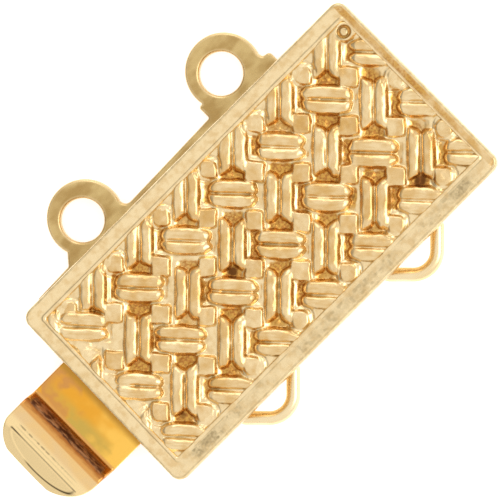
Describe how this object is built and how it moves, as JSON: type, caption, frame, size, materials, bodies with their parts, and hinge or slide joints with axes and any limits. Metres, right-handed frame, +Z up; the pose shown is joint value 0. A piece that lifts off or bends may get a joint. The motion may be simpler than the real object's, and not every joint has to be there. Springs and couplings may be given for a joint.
{
  "type": "box clasp",
  "caption": "Rectangular box clasp with a cast basket-weave cover, a sliding tongue with rings, wire loops and a sprung thumb tab.",
  "frame": {"origin": "middle of the tray's flat back, on its outer face", "axes": "+X along the box away from the thumb tab, +Y across the box towards the tongue's rings, +Z up through the woven cover"},
  "size_m": [0.0253, 0.0151, 0.0035],
  "materials": {
    "cast_gilt": "gold-plated casting, polished crests",
    "sheet_gilt": "gold-plated sheet and wire, polished",
    "satin_gilt": "gold-plated stamped sheet, satin",
    "spring_gilt": "gold-plated spring strip, polished"
  },
  "bodies": {
    "box": {"cover": "cast_gilt", "tray": "sheet_gilt"},
    "tongue": {"tongue_plate": "satin_gilt"},
    "spring": {"spring_leaf": "spring_gilt"}
  },
  "joints": [
    {"name": "tongue_slide", "type": "slide", "parent": "box", "child": "tongue", "axis": [-1, 0, 0], "range_m": [0, 0.0185]},
    {"name": "spring_press", "type": "hinge", "parent": "tongue", "child": "spring", "pos_m": [0.00655, 0, 0.00165], "axis": [0, -1, 0], "range_deg": [0, 1.4], "stiffness_Nm_per_rad": 0.05, "springref_deg": -1.15}
  ]
}
